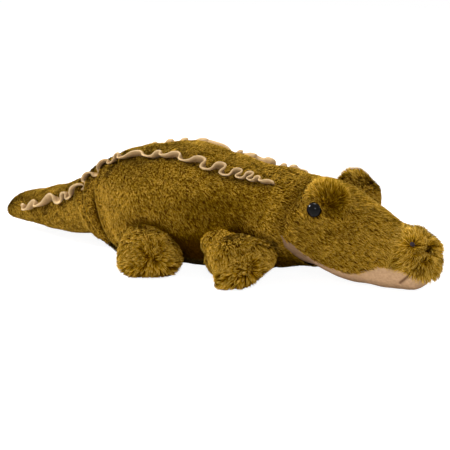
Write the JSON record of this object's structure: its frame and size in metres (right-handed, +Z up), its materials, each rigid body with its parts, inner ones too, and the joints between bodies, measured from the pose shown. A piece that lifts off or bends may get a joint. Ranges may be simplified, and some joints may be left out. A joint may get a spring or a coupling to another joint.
{
  "type": "plush caiman",
  "caption": "Stuffed plush caiman lying on its belly, with button eyes, raised brows, a soft jaw, short legs, a tapering tail and a gathered ruffle along each side of the back.",
  "frame": {"origin": "on the flat of the belly, under the middle of the body", "axes": "+X to the nose, +Y to the animal's left, +Z up"},
  "size_m": [0.543, 0.2246, 0.1255],
  "materials": {
    "fur": "golden olive faux fur with a directional pile about 8 mm long, longer on the feet, brows and nose",
    "belly_fur": "dark olive short pile cloth",
    "jaw_cloth": "pinkish beige smooth short pile cloth",
    "ruffle_cloth": "tan smooth velour, doubled and gathered",
    "stuffing": "white polyester fibre",
    "eye_plastic": "glossy near-black moulded plastic",
    "washer_plastic": "plain white moulded plastic",
    "nose_thread": "dark purple-brown embroidery thread"
  },
  "bodies": {
    "torso": {"torso_fill": "stuffing", "back_panel": "fur", "side_panel_right": "fur", "side_panel_left": "fur", "belly_panel": "belly_fur", "ruffle_left": "ruffle_cloth", "ruffle_right": "ruffle_cloth"},
    "head": {"head_fill": "stuffing", "head_cover": "fur", "jaw_panel": "jaw_cloth", "brow_cover_right": "fur", "brow_cover_left": "fur", "brow_fill_right": "stuffing", "brow_fill_left": "stuffing", "eye_right": "eye_plastic", "eye_left": "eye_plastic", "eye_washer_right": "washer_plastic", "eye_washer_left": "washer_plastic", "nostril_right": "nose_thread", "nostril_left": "nose_thread"},
    "tail": {"tail_fill": "stuffing", "tail_top_panel": "fur", "tail_under_panel": "fur", "tail_ruffle_left": "ruffle_cloth", "tail_ruffle_right": "ruffle_cloth"},
    "hind_leg_right": {"hind_leg_cover_right": "fur", "hind_leg_fill_right": "stuffing"},
    "hind_leg_left": {"hind_leg_cover_left": "fur", "hind_leg_fill_left": "stuffing"},
    "front_leg_right": {"front_leg_cover_right": "fur", "front_leg_fill_right": "stuffing"},
    "front_leg_left": {"front_leg_cover_left": "fur", "front_leg_fill_left": "stuffing"}
  },
  "joints": [
    {"name": "head_lift", "type": "hinge", "parent": "torso", "child": "head", "pos_m": [0.084, 0, 0.05185], "axis": [0, -1, 0], "range_deg": [0, 20], "stiffness_Nm_per_rad": 0.1},
    {"name": "tail_sway", "type": "hinge", "parent": "torso", "child": "tail", "pos_m": [-0.09, 0, 0.04813], "axis": [0, 0, 1], "range_deg": [-25, 25], "stiffness_Nm_per_rad": 0.08},
    {"name": "hind_leg_swing_right", "type": "hinge", "parent": "torso", "child": "hind_leg_right", "pos_m": [-0.02, -0.063, 0.031], "axis": [0, 0, 1], "range_deg": [-22, 20], "stiffness_Nm_per_rad": 0.05},
    {"name": "hind_leg_swing_left", "type": "hinge", "parent": "torso", "child": "hind_leg_left", "pos_m": [-0.02, 0.063, 0.031], "axis": [0, 0, -1], "range_deg": [-22, 20], "stiffness_Nm_per_rad": 0.05},
    {"name": "front_leg_swing_right", "type": "hinge", "parent": "torso", "child": "front_leg_right", "pos_m": [0.074, -0.054, 0.031], "axis": [0, 0, 1], "range_deg": [-22, 5], "stiffness_Nm_per_rad": 0.05},
    {"name": "front_leg_swing_left", "type": "hinge", "parent": "torso", "child": "front_leg_left", "pos_m": [0.074, 0.054, 0.031], "axis": [0, 0, -1], "range_deg": [-22, 5], "stiffness_Nm_per_rad": 0.05}
  ]
}
